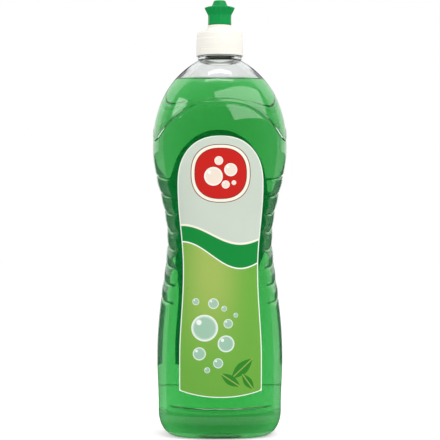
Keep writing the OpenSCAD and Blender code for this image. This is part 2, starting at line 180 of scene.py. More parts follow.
def grip_drop(angle, z):
    """How far the grooves drop towards the front and back."""
    rising = eased(0, 1, (z - GROOVE_Z + 2 * GROOVE_PITCH) / GROOVE_PITCH)
    falling = eased(1, 0, (z - LAST_GROOVE_Z - GROOVE_PITCH / 2) / GROOVE_PITCH)
    drop = GROOVE_DROP + GROOVE_MORE_DROP
    return drop * eased(0, 1, flank_angle(angle) / GROOVE_END_ANGLE) * rising * falling


def plain_reach(angle, z, inset=0.0):
    """Distance from the axis to the plain body."""
    return reach(angle, half_width(z) - inset, half_depth(z) - inset, power_at(z))


@lru_cache(maxsize=None)
def ridge_z(angle):
    """Height of the ridge at an angle, found by halving the way to its arch."""
    z = RIDGE_TOP
    flank_rise = RIDGE_FLANK_RISE * eased(1, 0, flank_angle(angle) / GROOVE_FULL_ANGLE)
    for _ in range(14):
        x = abs(math.cos(angle)) * plain_reach(angle, z)
        z = (z + RIDGE_TOP - RIDGE_FALL * (x / RIDGE_SPAN) ** RIDGE_POWER + flank_rise) / 2
    return z


def panel_drop(angle, z):
    """How far the shoulder's rings drop, so that they run along the ridge."""
    rising = eased(0, 1, (z - PANEL_DROP_START) / (RIDGE_TOP - PANEL_DROP_START))
    return (RIDGE_TOP - ridge_z(angle)) * rising * eased(1, 0, (z - RIDGE_TOP) / (DROP_END - RIDGE_TOP))


def panel_share(angle):
    """How far a panel is set in at an angle."""
    return eased(0, 1, (flank_angle(angle) - PANEL_START_ANGLE) / (PANEL_FULL_ANGLE - PANEL_START_ANGLE))


def panel_in(angle, z):
    """How far the panel is set in, from a small bead at its lower edge up to the foot of the ridge."""
    low, edge = BACK_PANEL_LOW, BACK_PANEL_EDGE
    if math.sin(angle) < 0:
        low, edge = FRONT_PANEL_LOW + PANEL_SMILE * abs(math.cos(angle)) ** 2, FRONT_PANEL_EDGE
    rise = eased(0, 1, (z - low) / edge)
    bead = PANEL_BEAD * eased(0, 1, (z - low) / edge + BEAD_REACH) * (1 - rise)
    depth = PANEL_DEPTH * rise * eased(1, 0, (z - RIDGE_FOOT + PANEL_EDGE) / PANEL_EDGE)
    return panel_share(angle) * (depth - bead)


def ridge_out(angle, z):
    """How far the ridge stands out, less so over the middle of a flank."""
    rising = eased(0, 1, (z - RIDGE_FOOT) / RIDGE_EDGE)
    falling = eased(1, 0, (z - RIDGE_TOP + RIDGE_EDGE) / RIDGE_EDGE)
    middle = RIDGE_BACK_HEIGHT if math.sin(angle) > 0 else RIDGE_HEIGHT
    return rising * falling * eased(RIDGE_FLANK_HEIGHT, middle, flank_angle(angle) / PANEL_FULL_ANGLE)


def body_point(angle, z, inset=0.0, detail=True):
    """One point of the body's surface, set in by inset."""
    level = z - grip_drop(angle, z) - panel_drop(angle, z) if detail else z
    far = plain_reach(angle, level, inset)
    if detail:
        far += ridge_out(angle, z) - panel_in(angle, z)
    return (far * math.cos(angle), far * math.sin(angle), level)


def wall_at(z):
    """Wall thickness at height z, which grows into the neck."""
    return WALL + (NECK_WALL - WALL) * eased(0, 1, (z - NECK_Z + DOME_RISE / 3) / (DOME_RISE / 3))


def stations(start, end, step):
    """Even steps from start to end, both included."""
    count = max(1, round(abs(end - start) / step))
    return [start + (end - start) * i / count for i in range(count + 1)]


def angles(count):
    return [2 * math.pi * i / count for i in range(count)]


# What a mark says at a point that it isn't meant for
NO_MARK = -100.0


def mesh_object(name, verts, faces, smooth_angle=40, marks=None):
    """A mesh in metres from points in millimetres, normals outward, with named marks on its points."""
    mesh = bpy.data.meshes.new(name)
    mesh.from_pydata([tuple(c * MM for c in v) for v in verts], [], faces)
    work = bmesh.new()
    work.from_mesh(mesh)
    bmesh.ops.recalc_face_normals(work, faces=work.faces)
    work.to_mesh(mesh)
    work.free()
    for mark, values in (marks or {}).items():
        values = list(values) + [NO_MARK] * (len(mesh.vertices) - len(values))
        mesh.attributes.new(mark, "FLOAT", "POINT").data.foreach_set("value", values)
    smooth(mesh, smooth_angle)
    piece = bpy.data.objects.new(name, mesh)
    bpy.context.scene.collection.objects.link(piece)
    return piece


def smooth(mesh, angle):
    """Smooth shading that keeps the edges sharper than an angle."""
    mesh.polygons.foreach_set("use_smooth", [True] * len(mesh.polygons))
    mesh.set_sharp_from_angle(angle=math.radians(angle))


def loft(rings, first_end=True, last_end=True, loop=False):
    """Points and faces through rings of equal length; an end gets a fan, and a loop joins up."""
    n = len(rings[0])
    verts = [p for ring in rings for p in ring]
    faces = []
    pairs = [(k, k + 1) for k in range(len(rings) - 1)] + ([(len(rings) - 1, 0)] if loop else [])
    for low, high in pairs:
        for i in range(n):
            j = (i + 1) % n
            faces.append((low * n + i, low * n + j, high * n + j, high * n + i))
    for wanted, start in ((first_end, 0), (last_end, (len(rings) - 1) * n)):
        if wanted and not loop:
            ring = verts[start:start + n]
            verts.append(tuple(sum(p[k] for p in ring) / n for k in range(3)))
            faces += [(start + i, start + (i + 1) % n, len(verts) - 1) for i in range(n)]
    return verts, faces


def rounded(corners, steps=5):
    """An outline of (r, z, radius) corners with each corner that has a radius made an arc."""
    out = []
    for i, (r, z, radius) in enumerate(corners):
        here = Vector((r, z))
        if radius <= 0 or i in (0, len(corners) - 1):
            out.append((r, z))
            continue
        to_last = Vector(corners[i - 1][:2]) - here
        to_next = Vector(corners[i + 1][:2]) - here
        angle = to_last.angle(to_next)
        if angle > math.radians(178):
            out.append((r, z))
            continue
        cut = min(radius / math.tan(angle / 2), to_last.length * 0.49, to_next.length * 0.49)
        a = here + to_last.normalized() * cut
        b = here + to_next.normalized() * cut
        for s in range(steps + 1):
            t = s / steps
            p = a * (1 - t) ** 2 + here * 2 * t * (1 - t) + b * t * t
            out.append((p.x, p.y))
    return out


def refined(outline, step):
    """The outline with no stretch longer than step."""
    out = [outline[0]]
    for (r0, z0), (r1, z1) in zip(outline, outline[1:]):
        count = max(1, math.ceil(math.hypot(r1 - r0, z1 - z0) / step))
        out += [(r0 + (r1 - r0) * i / count, z0 + (z1 - z0) * i / count) for i in range(1, count + 1)]
    return out


def turned(outline, count):
    """Rings of an outline turned round the axis."""
    return [[(r * math.cos(a), r * math.sin(a), z) for a in angles(count)] for r, z in outline]


# Node helpers, for the trees that make shapes and for the materials
def add_node(tree, kind, **settings):
    """A node with its properties set."""
    node = tree.nodes.new(kind)
    for key, value in settings.items():
        setattr(node, key, value)
    return node


def join(tree, source, target):
    tree.links.new(source, target)


def plug(tree, socket, value):
    """Sets a socket to a number, name, vector or colour, or links it to another socket."""
    if isinstance(value, (int, float, str)):
        socket.default_value = value
    elif isinstance(value, tuple):
        socket.default_value = (*value, 1.0) if len(value) == 3 and len(socket.default_value) == 4 else value
    else:
        tree.links.new(value, socket)


def wired(tree, kind, wires, **settings):
    """A node with its properties set and its inputs set or linked, each by its name or place."""
    node = add_node(tree, kind, **settings)
    for name, value in wires.items():
        plug(tree, node.inputs[name], value)
    return node


def maths(tree, operation, *values):
    """One Math node; each value is a number or a socket."""
    return wired(tree, "ShaderNodeMath", dict(enumerate(values)), operation=operation).outputs[0]


def step(tree, value, start, end):
    """A smooth step from 0 at start to 1 at end, which may lie below start."""
    wires = {"Value": value, "From Min": start, "From Max": end}
    return wired(tree, "ShaderNodeMapRange", wires, interpolation_type="SMOOTHSTEP").outputs[0]


def product(tree, first, *others):
    for other in others:
        first = maths(tree, "MULTIPLY", first, other)
    return first


def new_group(kind, name, inputs, outputs):
    """An empty node group with named inputs and outputs, and its two end nodes."""
    tree = bpy.data.node_groups.new(name, kind)
    for side, sockets in (("INPUT", inputs), ("OUTPUT", outputs)):
        for label, socket in sockets.items():
            tree.interface.new_socket(name=label, in_out=side, socket_type="NodeSocket" + socket)
    return tree, tree.nodes.new("NodeGroupInput").outputs, tree.nodes.new("NodeGroupOutput").inputs


def shape_tree(name, names):
    """An empty tree that changes a mesh, with named sizes and the material it ends on."""
    inputs = {"Geometry": "Geometry", "Material": "Material", **{size: "Float" for size in names}}
    tree, given, result = new_group("GeometryNodeTree", name, inputs, {"Geometry": "Geometry"})
    return tree, given, result, [given[size] for size in names]


def end_tree(tree, given, result, geometry):
    """Makes the result real, sets its material and puts it out."""
    real = wired(tree, "GeometryNodeRealizeInstances", {0: geometry})
    wires = {"Geometry": real.outputs[0], "Material": given["Material"]}
    join(tree, wired(tree, "GeometryNodeSetMaterial", wires).outputs[0], result["Geometry"])
    return tree


def read_mark(tree, name):
    mark = wired(tree, "GeometryNodeInputNamedAttribute", {"Name": name}, data_type="FLOAT")
    return mark.outputs["Attribute"]


def drop_mark(tree, geometry, name):
    """Takes a used mark off the mesh."""
    return wired(tree, "GeometryNodeRemoveAttribute", {"Geometry": geometry, "Name": name}).outputs[0]


def position(tree):
    return add_node(tree, "GeometryNodeInputPosition").outputs[0]


def place_round_axis(tree):
    """Distance from the axis in millimetres, share of a turn and height of each point."""
    parts = wired(tree, "ShaderNodeSeparateXYZ", {0: position(tree)})
    x, y, z = (maths(tree, "DIVIDE", parts.outputs[axis], MM) for axis in "XYZ")
    radius = maths(tree, "SQRT", maths(tree, "MULTIPLY_ADD", x, x, product(tree, y, y)))
    return radius, maths(tree, "DIVIDE", maths(tree, "ARCTAN2", y, x), 2 * math.pi), z


def push_out(tree, geometry, amount):
    """Moves each point away from the axis by an amount in millimetres."""
    flat = wired(tree, "ShaderNodeVectorMath", {0: position(tree), 1: (1, 1, 0)}, operation="MULTIPLY")
    outward = wired(tree, "ShaderNodeVectorMath", {0: flat.outputs[0]}, operation="NORMALIZE")
    far = maths(tree, "MULTIPLY", amount, MM)
    move = wired(tree, "ShaderNodeVectorMath", {0: outward.outputs[0], "Scale": far}, operation="SCALE")
    wires = {"Geometry": geometry, "Offset": move.outputs[0]}
    return wired(tree, "GeometryNodeSetPosition", wires).outputs[0]


def shaped(piece, tree, material, sizes, smooth_angle):
    """Runs a shape tree on a piece with its sizes, and keeps the result as a plain mesh."""
    modifier = piece.modifiers.new(tree.name, "NODES")
    modifier.node_group = tree
    for item in tree.interface.items_tree:
        if item.in_out == "INPUT" and item.name in sizes:
            modifier[item.identifier] = sizes[item.name]
        elif item.in_out == "INPUT" and item.name == "Material":
            modifier[item.identifier] = material
    evaluated = piece.evaluated_get(bpy.context.evaluated_depsgraph_get())
    mesh = bpy.data.meshes.new_from_object(evaluated)
    piece.modifiers.remove(modifier)
    piece.data = mesh
    smooth(mesh, smooth_angle)
    return piece


def off_whole(tree, value):
    """How far a value lies from the nearest whole number."""
    return maths(tree, "ABSOLUTE", maths(tree, "SUBTRACT", value, maths(tree, "ROUND", value)))


def groove_tree():
    """Grip grooves pressed into the flanks, with a soft swell between two of them."""
    tree, given, result, sizes = shape_tree("grip_grooves", (
        "Count", "First height", "Pitch", "Depth", "Half height", "Swell", "Full angle", "End angle"))
    count, first, pitch, depth, half, swell, full, end = sizes
    _, turn, _ = place_round_axis(tree)
    halves = product(tree, turn, 2.0)
    flank = product(tree, off_whole(tree, halves), 180.0)
    place = maths(tree, "DIVIDE", maths(tree, "SUBTRACT", read_mark(tree, "ring_level"), first), pitch)
    off = product(tree, off_whole(tree, place), pitch)
    last = maths(tree, "SUBTRACT", count, 1.0)
    in_grip = product(tree, maths(tree, "GREATER_THAN", place, -0.5),
                      maths(tree, "LESS_THAN", place, maths(tree, "ADD", last, 0.5)))
    between = product(tree, maths(tree, "GREATER_THAN", place, 0.0), maths(tree, "LESS_THAN", place, last))
    cut = product(tree, step(tree, off, half, 0.0), depth, -1.0)
    raised = product(tree, step(tree, off, half, maths(tree, "DIVIDE", pitch, 2.0)), swell, between)
    amount = product(tree, maths(tree, "ADD", cut, raised), in_grip, step(tree, flank, end, full))
    moved = push_out(tree, given["Geometry"], amount)
    return end_tree(tree, given, result, drop_mark(tree, moved, "ring_level"))


def thread_tree():
    """A screw thread raised on a round wall, with ends that run out."""
    tree, given, result, sizes = shape_tree("screw_thread", (
        "Wall radius", "From", "To", "Start", "Pitch", "Height", "Half width", "First turn", "Last turn",
        "Run out"))
    wall, low, high, start, pitch, height, half, first, last, run_out = sizes
    radius, turn, z = place_round_axis(tree)
    along = maths(tree, "DIVIDE", maths(tree, "SUBTRACT", z, start), pitch)
    at = maths(tree, "ADD", turn, maths(tree, "ROUND", maths(tree, "SUBTRACT", along, turn)))
    off = product(tree, maths(tree, "ABSOLUTE", maths(tree, "SUBTRACT", along, at)), pitch)
    crest = step(tree, off, half, product(tree, half, 0.35))
    opened = step(tree, at, first, maths(tree, "ADD", first, run_out))
    closed = step(tree, at, last, maths(tree, "SUBTRACT", last, run_out))
    on_wall = maths(tree, "COMPARE", radius, wall, 0.02)
    in_reach = product(tree, maths(tree, "GREATER_THAN", z, low), maths(tree, "LESS_THAN", z, high))
    amount = product(tree, crest, opened, closed, on_wall, in_reach, height)
    return end_tree(tree, given, result, push_out(tree, given["Geometry"], amount))


def flute_tree():
    """Flutes cut round the spout, deep at the flare's tips and running out down the barrel."""
    tree, given, result, sizes = shape_tree("spout_flutes", (
        "Count", "Depth", "Width share", "Foot", "Tip", "Least radius", "Flare radius"))
    count, depth, width, foot, tip, least, flare = sizes
    radius, turn, z = place_round_axis(tree)
    rise = maths(tree, "DIVIDE", maths(tree, "SUBTRACT", z, foot), maths(tree, "SUBTRACT", tip, foot))
    share = maths(tree, "POWER", maths(tree, "MAXIMUM", 0.0, maths(tree, "MINIMUM", rise, 1.0)), 1.2)
    place = product(tree, turn, count)
    off = maths(tree, "DIVIDE", maths(tree, "PINGPONG", place, 0.5), product(tree, width, 0.5))
    cut = maths(tree, "MAXIMUM", 0.0, maths(tree, "SUBTRACT", 1.0, product(tree, off, off)))
    outward = maths(tree, "SUBTRACT", radius, least)
    on_top = maths(tree, "DIVIDE", outward, maths(tree, "SUBTRACT", flare, least))
    on_top = maths(tree, "MINIMUM", 1.0, product(tree, on_top, 1.4))
    below = maths(tree, "LESS_THAN", z, maths(tree, "ADD", tip, 0.05))
    outside = maths(tree, "GREATER_THAN", radius, least)
    amount = product(tree, depth, share, cut, maths(tree, "MAXIMUM", on_top, below), outside, -1.0)
    return end_tree(tree, given, result, push_out(tree, given["Geometry"], amount))


def web_tree():
    """One web copied round the axis between the pin and the guide tube."""
    tree, given, result, (count, first) = shape_tree("webs_round_pin", ("Count", "First turn"))
    is_web = maths(tree, "GREATER_THAN", read_mark(tree, "web"), 0.5)
    apart = wired(tree, "GeometryNodeSeparateGeometry", {"Geometry": given["Geometry"], "Selection": is_web},
                  domain="POINT")
    share = maths(tree, "DIVIDE", add_node(tree, "GeometryNodeInputIndex").outputs[0], count)
    turn = wired(tree, "ShaderNodeCombineXYZ", {"Z": maths(tree, "MULTIPLY_ADD", share, 2 * math.pi, first)})
    points = wired(tree, "GeometryNodePoints", {"Count": count})
    copies = wired(tree, "GeometryNodeInstanceOnPoints", {
        "Points": points.outputs[0], "Instance": apart.outputs["Selection"], "Rotation": turn.outputs[0]})
    together = add_node(tree, "GeometryNodeJoinGeometry")
    join(tree, apart.outputs["Inverted"], together.inputs[0])
    join(tree, copies.outputs[0], together.inputs[0])
    return end_tree(tree, given, result, drop_mark(tree, together.outputs[0], "web"))


# The screw thread of the neck and the cap
THREAD_PITCH = 4.23
THREAD_START = 3.0
THREAD = {"Pitch": THREAD_PITCH, "Half width": 0.95, "Run out": 0.1}
THREAD_HEIGHT = 1.05

# How finely the body is divided: round it, up it, and where its surface steps
BODY_SEGMENTS = 124
BODY_STEP = 1.6
FINE_STEP = 0.23
RING_MARGIN = 0.2


def base_rings(lift):
    """Rings of the push-up and the standing ring, from the middle out."""
    foot = [body_point(a, 0.0, detail=False) for a in angles(BODY_SEGMENTS)]
    rings = []
    for t in stations(88, 0, 8):
        share = (1 - STANDING_SHARE) * math.cos(math.radians(t))
        rise = PUSH_UP * math.sin(math.radians(t))
        rings.append([(x * share, y * share, lift + rise) for x, y, _ in foot])
    rings.append([(x, y, lift) for x, y, _ in foot])
    return rings


def corner_rings(low):
    """Rings round the foot's corner, set in at right angles by low."""
    rings = []
    for t in stations(84, 0, 6):
        z = FOOT_ROUND_HEIGHT * (1 - math.sin(math.radians(t)))
        lift = low * math.sin(math.radians(t))
        ring = [body_point(a, z, low * math.cos(math.radians(t)), False) for a in angles(BODY_SEGMENTS)]
        rings.append([(x, y, z + lift) for x, y, _ in ring])
    return rings


def dome_stations(turn):
    return [SHOULDER_Z + DOME_RISE * math.sin(math.radians(t)) for t in stations(turn, 90, turn)]


def body_levels():
    """Heights of the body's rings, closer together where the surface steps."""
    levels = stations(FOOT_ROUND_HEIGHT, SHOULDER_Z, BODY_STEP)[1:] + dome_stations(1.8)
    smile_top = FRONT_PANEL_LOW + PANEL_SMILE
    steps = [(FRONT_PANEL_LOW - BEAD_REACH * FRONT_PANEL_EDGE, smile_top + FRONT_PANEL_EDGE),
             (BACK_PANEL_LOW - (BEAD_REACH + RING_MARGIN) * BACK_PANEL_EDGE,
              BACK_PANEL_LOW + (1 + RING_MARGIN) * BACK_PANEL_EDGE),
             (RIDGE_FOOT - RIDGE_EDGE - RING_MARGIN, RIDGE_TOP + RING_MARGIN)]
    half = GROOVE_HALF * GROOVE_SHARPER
    grooves = [GROOVE_Z + GROOVE_PITCH * i for i in range(GROOVE_COUNT)]
    steps += [(z - half, z + half) for z in grooves]
    for low, high in steps:
        levels = [z for z in levels if not low - FINE_STEP < z < high + FINE_STEP]
        levels += stations(low, high, FINE_STEP)
    return sorted(levels)


def body_rings(levels, inset):
    """Rings of the body's surface set in by a function of height, with their marks for the grooves."""
    rings = [[body_point(a, z, inset(z)) for a in angles(BODY_SEGMENTS)] for z in levels]
    return rings, [z for z in levels for _ in range(BODY_SEGMENTS)]


def inner_rings(gap, top):
    """Rings of the inside of the wall, or of the liquid, up to a height, with their marks."""
    low = base_rings(WALL + gap) + corner_rings(WALL + gap)
    levels = [z for z in body_levels() if z < top - 0.5] + [top]
    sides, marks = body_rings(levels, lambda z: wall_at(z) + gap)
    return low + sides, [NO_MARK] * len(low) * BODY_SEGMENTS + marks


def grooved(piece, material):
    """Presses the grip grooves into a piece."""
    grip = {"Count": GROOVE_COUNT, "First height": GROOVE_Z, "Pitch": GROOVE_PITCH, "Depth": GROOVE_DEPTH,
            "Half height": GROOVE_HALF * GROOVE_SHARPER, "Swell": GROOVE_SWELL,
            "Full angle": GROOVE_FULL_ANGLE + GROOVE_LONGER,
            "End angle": GROOVE_END_ANGLE + GROOVE_LONGER / 3}
    return shaped(piece, GRIP_GROOVES, material, {name: float(size) for name, size in grip.items()}, 50)


def bottle_piece(plastic):
    """The blown bottle as one closed wall, with its panels, ridge, grooves, neck and thread."""
    low = base_rings(0) + corner_rings(0)
    sides, side_marks = body_rings(body_levels(), lambda z: 0.0)
    neck = rounded([
        (BLOWN_RADIUS, NECK_Z, 0), (BLOWN_RADIUS, NECK_Z + 0.1, 0.2), (COLLAR_RADIUS, NECK_Z + 0.2, 0.3),
        (COLLAR_RADIUS, COLLAR_TOP, 0.4), (NECK_RADIUS, COLLAR_TOP, 0.3), (NECK_RADIUS, LIP_Z, 0.6),
        (BORE_RADIUS, LIP_Z, 0.5), (BORE_RADIUS, NECK_Z, 0.3), (BORE_RADIUS + BORE_STEP, NECK_Z - 0.4, 0)
    ])
    neck_rings = turned(refined(neck, 0.32)[1:], BODY_SEGMENTS)
    inside, inside_marks = inner_rings(0, NECK_Z - 1.2)
    marks = [NO_MARK] * len(low) * BODY_SEGMENTS + side_marks + [NO_MARK] * len(neck_rings) * BODY_SEGMENTS
    verts, faces = loft(low + sides + neck_rings + inside[::-1])
    piece = mesh_object("blown_bottle", verts, faces, 50, {"ring_level": marks + inside_marks[::-1]})
    grooved(piece, plastic)
    neck_thread = {"Wall radius": NECK_RADIUS, "From": COLLAR_TOP + 0.6, "To": LIP_Z - 0.7,
                   "Start": COLLAR_TOP + THREAD_START, "Height": THREAD_HEIGHT, "First turn": 0.0,
                   "Last turn": 1.5, **THREAD}
    return shaped(piece, SCREW_THREAD, plastic, neck_thread, 50)


# The liquid runs a little into the wall, so that no film of air shows between them.
# Its solid stays 0.2 mm clear of the wall and is filled to 0.3 mm less.
LIQUID_GAP = -0.06
FILL_Z = 231.3
MENISCUS_RISE = 1.6
MENISCUS_REACH = 1.9


def liquid_piece(liquid):
    """The liquid, with a meniscus that climbs the wall."""
    rings, marks = inner_rings(LIQUID_GAP, FILL_Z)
    top = FILL_Z + MENISCUS_RISE
    edge = [body_point(a, top, wall_at(top) + LIQUID_GAP, False) for a in angles(BODY_SEGMENTS)]
    rings.append(edge)
    width = max(p[0] for p in edge)
    for t in stations(8, 90, 7):
        share = 1 - MENISCUS_REACH * (1 - math.cos(math.radians(t))) / width
        rise = MENISCUS_RISE * (1 - math.sin(math.radians(t)))
        rings.append([(x * share, y * share, FILL_Z + rise) for x, y, _ in edge])
    for share in (0.8, 0.5, 0.2):
        rings.append([(x * share, y * share, FILL_Z) for x, y, _ in edge])
    verts, faces = loft(rings)
    return grooved(mesh_object("green_liquid", verts, faces, 60, {"ring_level": marks}), liquid)


# Labels, with heights and half widths in millimetres
LABEL_GAP = 0.15
LABEL_THICKNESS = 0.15
LABEL_ARCH = 30.8
LABEL_ARCH_POWER = 2.3
LABEL_SMILE = 4.2
LABEL_COLUMNS = 48
WAIST_LABEL_Z = (WAIST_Z + GROOVE_Z) / 2
FRONT = {"low": 27.5, "top": 194.5, "foot": 26.4, "waist": 24.0, "widest": 27.5}
BACK = {"low": 40.0, "top": 200.5, "foot": 21.6, "waist": 17.4, "widest": 23.5}


def panel_y(x, z):
    """Where the front panel lies in front of the axis."""
    power = power_at(z)
    set_in = PANEL_DEPTH * panel_share(math.atan2(half_depth(z), abs(x)))
    return set_in - half_depth(z) * (1 - (abs(x) / half_width(z)) ** power) ** (1 / power)


def label_side(z, form):
    """Half width of a label's side, between its foot, waist and widest part."""
    arch_z = form["top"] - LABEL_ARCH
    if z > WAIST_LABEL_Z:
        return eased(form["waist"], form["widest"], (z - WAIST_LABEL_Z) / (arch_z - WAIST_LABEL_Z))
    return eased(form["waist"], form["foot"], (WAIST_LABEL_Z - z) / (WAIST_LABEL_Z - BELLY_Z))


def label_half(z, form):
    """Half width of a label at height z, with its arched top and smiling foot."""
    arch_z = form["top"] - LABEL_ARCH
    if z > arch_z:
        rise = min(1, (z - arch_z) / LABEL_ARCH)
        return form["widest"] * (1 - rise ** LABEL_ARCH_POWER) ** (1 / LABEL_ARCH_POWER)
    return label_side(z, form) * min(1, math.sqrt(max(0, (z - form["low"]) / LABEL_SMILE)))


def edge_distance(x, z, form):
    """How far a place on a label lies from the label's edge."""
    slope = (label_half(z + 0.01, form) - label_half(z - 0.01, form)) / 0.02
    beside = (label_half(z, form) - abs(x)) / math.hypot(1, slope)
    return min(beside, z - form["low"] - LABEL_SMILE * (x / label_side(z, form)) ** 2)


def label_piece(name, form, turn):
    """A label film that follows its panel, marked with the distance from its edge."""
    arch_z = form["top"] - LABEL_ARCH
    foot = [form["low"] + LABEL_SMILE * (t / 10) ** 2 for t in range(1, 11)]
    rise = 2 / LABEL_ARCH_POWER
    arch = [arch_z + LABEL_ARCH * math.sin(math.radians(t)) ** rise for t in range(4, 89, 4)]
    rings, marks, outside = [], [], []
    for z in foot + stations(foot[-1], arch_z, 1.6)[1:] + arch + [form["top"] - 0.004]:
        half = label_half(z, form)
        xs = [half * (2 * i / LABEL_COLUMNS - 1) for i in range(LABEL_COLUMNS + 1)]
        outer = [(x, panel_y(x, z) - LABEL_GAP - LABEL_THICKNESS, z) for x in xs]
        inner = [(x, panel_y(x, z) - LABEL_GAP, z) for x in reversed(xs)]
        rings.append([(x * turn, y * turn, z) for x, y, z in outer + inner])
        marks += [edge_distance(x, z, form) for x, _, z in outer + inner]
        outside += [1.0] * len(outer) + [0.0] * len(inner)
    verts, faces = loft(rings)
    return mesh_object(name, verts, faces, 30, {"from_edge": marks, "outside": outside})


# The closure, with part.scad's sizes in millimetres and the skirt's fine rings, which its solid lacks
CAP_Z = COLLAR_TOP + 0.3
SKIRT_BORE = NECK_RADIUS + 1.4
CEILING_Z = LIP_Z + 0.9
DECK_THICKNESS = 1.4
DECK_Z = CEILING_Z + DECK_THICKNESS
CAP_RADIUS = 15.5
CAP_TOP_RADIUS = 14.9
CAP_ROUND = 1.5
SKIRT_RINGS = (4.2, 5.6)
RING_HALF = 0.2
RING_CUT = 0.12
SEAT_RADIUS = 7.9
SEAT_Z = DECK_Z + 4.7
TUBE_RADIUS = 5.3
TUBE_TOP = SEAT_Z + 8.7
CHANNEL_RADIUS = 3.6
BEAD = 0.4
BEAD_HEIGHT = 1.3
PIN_RADIUS = 1.75
WEB_THICKNESS = 1.1
WEB_HEIGHT = 7.0
PLUG_RADIUS = BORE_RADIUS - 0.2
PLUG_THICKNESS = 1.2
PLUG_LENGTH = 3.2
SPOUT_Z = SEAT_Z + 0.3
BARREL_RADIUS = 7.7
FLARE_Z = SPOUT_Z + 6.5
FLARE_RADIUS = 10.1
FLARE_TOP = FLARE_Z + 4.7
NOSE_Z = FLARE_TOP + 1.3
NOSE_RADIUS = 5.1
NOSE_TIP_RADIUS = 3.8
SPOUT_TOP = NOSE_Z + 3.6
NOSE_PLATE = 1.2
RUNNING = 0.09
SPOUT_BORE = TUBE_RADIUS + BEAD + RUNNING
CAP_SEGMENTS = 144


def cap_piece(plastic):
    """The screw cap with its skirt, plug ring, seat, guide tube, pin and webs."""
    step_z = CAP_Z + (DECK_Z - CAP_Z) * 0.7
    seat_foot = (DECK_Z + SEAT_Z) / 2
    hollow = SEAT_RADIUS - DECK_THICKNESS
    plug_inner = PLUG_RADIUS - PLUG_THICKNESS
    slope = (CAP_RADIUS - CAP_TOP_RADIUS - 0.35) / (step_z - CAP_Z)
    skirt = []
    for ring in SKIRT_RINGS:
        below = CAP_RADIUS - slope * (ring - RING_HALF)
        above = CAP_RADIUS - slope * (ring + RING_HALF)
        skirt += [(below, CAP_Z + ring - RING_HALF, 0.1), (below - RING_CUT, CAP_Z + ring, 0.1),
                  (above, CAP_Z + ring + RING_HALF, 0.1)]
    outline = rounded([
        (SKIRT_BORE, CAP_Z, 0), (CAP_RADIUS, CAP_Z, 0.35), *skirt,
        (CAP_TOP_RADIUS + 0.35, step_z, 0.12), (CAP_TOP_RADIUS + 0.12, step_z + 0.25, 0.12),
        (CAP_TOP_RADIUS, DECK_Z, CAP_ROUND), (SEAT_RADIUS + 3.2, DECK_Z + 0.5, 2.0),
        (SEAT_RADIUS + 0.6, seat_foot, 0.8), (SEAT_RADIUS, seat_foot + 0.4, 0.3),
        (SEAT_RADIUS, SEAT_Z, 0.4), (TUBE_RADIUS, SEAT_Z, 0.2), (TUBE_RADIUS, TUBE_TOP - BEAD_HEIGHT, 0.2),
        (TUBE_RADIUS + BEAD, TUBE_TOP - BEAD_HEIGHT + BEAD, 0.2), (TUBE_RADIUS + BEAD, TUBE_TOP - BEAD, 0.3),
        (TUBE_RADIUS, TUBE_TOP, 0.3), (CHANNEL_RADIUS, TUBE_TOP, 0.2),
        (CHANNEL_RADIUS, SEAT_Z - DECK_THICKNESS, 0.3), (hollow, SEAT_Z - DECK_THICKNESS, 0.6),
        (hollow, seat_foot - DECK_THICKNESS, 0.6), (plug_inner, CEILING_Z + 0.4, 0.3),
        (plug_inner, CEILING_Z - PLUG_LENGTH, 0.3), (PLUG_RADIUS - 0.4, CEILING_Z - PLUG_LENGTH, 0.3),
        (PLUG_RADIUS, CEILING_Z - PLUG_LENGTH + 0.8, 0.3), (PLUG_RADIUS, CEILING_Z, 0.2),
        (SKIRT_BORE, CEILING_Z, 0.3), (SKIRT_BORE, CAP_Z, 0)
    ])
    verts, faces = loft(turned(refined(outline, 0.35)[:-1], CAP_SEGMENTS), loop=True)
    pin_foot = TUBE_TOP - WEB_HEIGHT
    pin = rounded([(0.02, pin_foot, 0), (PIN_RADIUS, pin_foot, 0.2), (PIN_RADIUS, SPOUT_TOP - 0.3, 0.5),
                   (0.02, SPOUT_TOP - 0.3, 0)])
    pin_verts, pin_faces = loft(turned(refined(pin, 1.0), 48))
    add_part(verts, faces, pin_verts, pin_faces)
    shell = len(verts)
    web_verts, web_faces = web_part(pin_foot)
    add_part(verts, faces, web_verts, web_faces)
    piece = mesh_object("moulded_cap", verts, faces, 35, {"web": [0.0] * shell + [1.0] * len(web_verts)})
    skirt_thread = {"Wall radius": SKIRT_BORE, "From": CAP_Z, "To": CEILING_Z - 0.6,
                    "Start": COLLAR_TOP + THREAD_START - THREAD_PITCH / 2, "Height": -THREAD_HEIGHT,
                    "First turn": 0.3, "Last turn": 1.9, **THREAD}
    shaped(piece, SCREW_THREAD, plastic, skirt_thread, 35)
    return shaped(piece, web_tree(), plastic, {"Count": 3.0, "First turn": math.pi / 2}, 35)


def add_part(verts, faces, more_verts, more_faces):
    """Adds one closed part to a mesh's points and faces."""
    start = len(verts)
    verts += more_verts
    faces += [tuple(start + i for i in face) for face in more_faces]


def web_part(foot):
    """One web from the pin out to the guide tube along X, tapered as moulded."""
    top = foot + WEB_HEIGHT - BEAD
    rings = []
    middle = (foot + top) / 2
    for z, thick in ((foot, 1.0), (foot + 0.15, 1.08), (middle, 1.0), (top - 0.15, 0.92), (top, 0.8)):
        half = WEB_THICKNESS * thick / 2
        out = CHANNEL_RADIUS + 0.3
        rings.append([(0.2, -half, z), (out, -half, z), (out, half, z), (0.2, half, z)])
    return loft(rings)


FLUTES = 18
SPOUT_WALL = NOSE_RADIUS + 1.6


